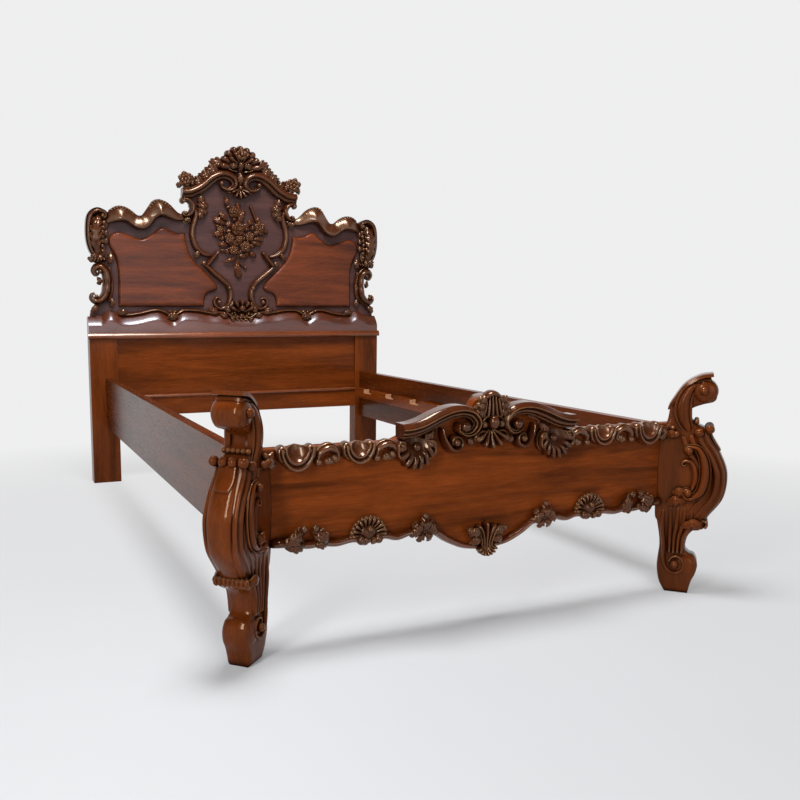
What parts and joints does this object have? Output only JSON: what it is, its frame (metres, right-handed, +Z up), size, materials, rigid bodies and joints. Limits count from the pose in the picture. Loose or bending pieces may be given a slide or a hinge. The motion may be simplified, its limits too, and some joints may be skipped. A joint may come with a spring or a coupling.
{
  "type": "carved bed frame",
  "caption": "Carved rococo revival bed frame: scrolled headboard with fielded panels and a floral cartouche, serpentine footboard on diagonal scroll legs, plain hook-on side rails.",
  "frame": {"origin": "on the floor under the middle of the bed's outline", "axes": "+X across the bed to the right seen from the foot, +Y from the foot to the head, +Z up"},
  "size_m": [1.5092, 2.3002, 1.5126],
  "materials": {
    "plain_wood": "gloss red-brown lacquer",
    "carved_wood": "gloss lacquer, dark in the hollows and rubbed bronze on the high points",
    "ground_wood": "satin dark lacquer",
    "steel": "zinc plated"
  },
  "bodies": {
    "frame": {"head_post_left": "plain_wood", "head_post_right": "plain_wood", "head_field_left": "plain_wood", "head_field_right": "plain_wood", "head_cresting_left": "carved_wood", "head_cresting_right": "carved_wood", "head_corner_leaf_left": "carved_wood", "head_corner_leaf_right": "carved_wood", "head_side_scroll_left": "carved_wood", "head_side_scroll_right": "carved_wood", "head_pediment_arm_left": "carved_wood", "head_pediment_arm_right": "carved_wood", "head_rosette_left": "carved_wood", "head_rosette_right": "carved_wood", "head_upper_strap_left": "carved_wood", "head_upper_strap_right": "carved_wood", "head_lower_strap_left": "carved_wood", "head_lower_strap_right": "carved_wood", "head_skirt_left": "carved_wood", "head_skirt_right": "carved_wood", "foot_leg_left": "carved_wood", "foot_leg_right": "carved_wood", "foot_corner_post_left": "plain_wood", "foot_corner_post_right": "plain_wood", "foot_frieze_left": "carved_wood", "foot_frieze_right": "carved_wood", "foot_arm_left": "carved_wood", "foot_arm_right": "carved_wood", "foot_scroll_left": "carved_wood", "foot_scroll_right": "carved_wood", "foot_ruffle_left": "carved_wood", "foot_ruffle_right": "carved_wood", "foot_lower_moulding_left": "carved_wood", "foot_lower_moulding_right": "carved_wood", "head_lower_rail": "plain_wood", "head_lower_panel": "plain_wood", "head_cove": "plain_wood", "head_half_round": "plain_wood", "head_upper_board": "ground_wood", "head_crest": "carved_wood", "head_bouquet": "carved_wood", "head_base_shell": "carved_wood", "head_pendant": "carved_wood", "foot_panel": "plain_wood", "foot_crest": "carved_wood", "foot_centre_shell": "carved_wood", "slot_plate_foot_left": "steel", "slot_plate_foot_right": "steel", "slot_plate_head_left": "steel", "slot_plate_head_right": "steel"},
    "rail_left": {"side_rail_left": "plain_wood", "slat_cleat_left": "plain_wood", "hook_plate_foot_left": "steel", "hook_plate_head_left": "steel"},
    "rail_right": {"side_rail_right": "plain_wood", "slat_cleat_right": "plain_wood", "hook_plate_foot_right": "steel", "hook_plate_head_right": "steel"}
  },
  "joints": [
    {"name": "rail_left_lift", "type": "slide", "parent": "frame", "child": "rail_left", "axis": [0, 0, 1], "range_m": [0, 0.02]},
    {"name": "rail_right_lift", "type": "slide", "parent": "frame", "child": "rail_right", "axis": [0, 0, 1], "range_m": [0, 0.02]}
  ]
}
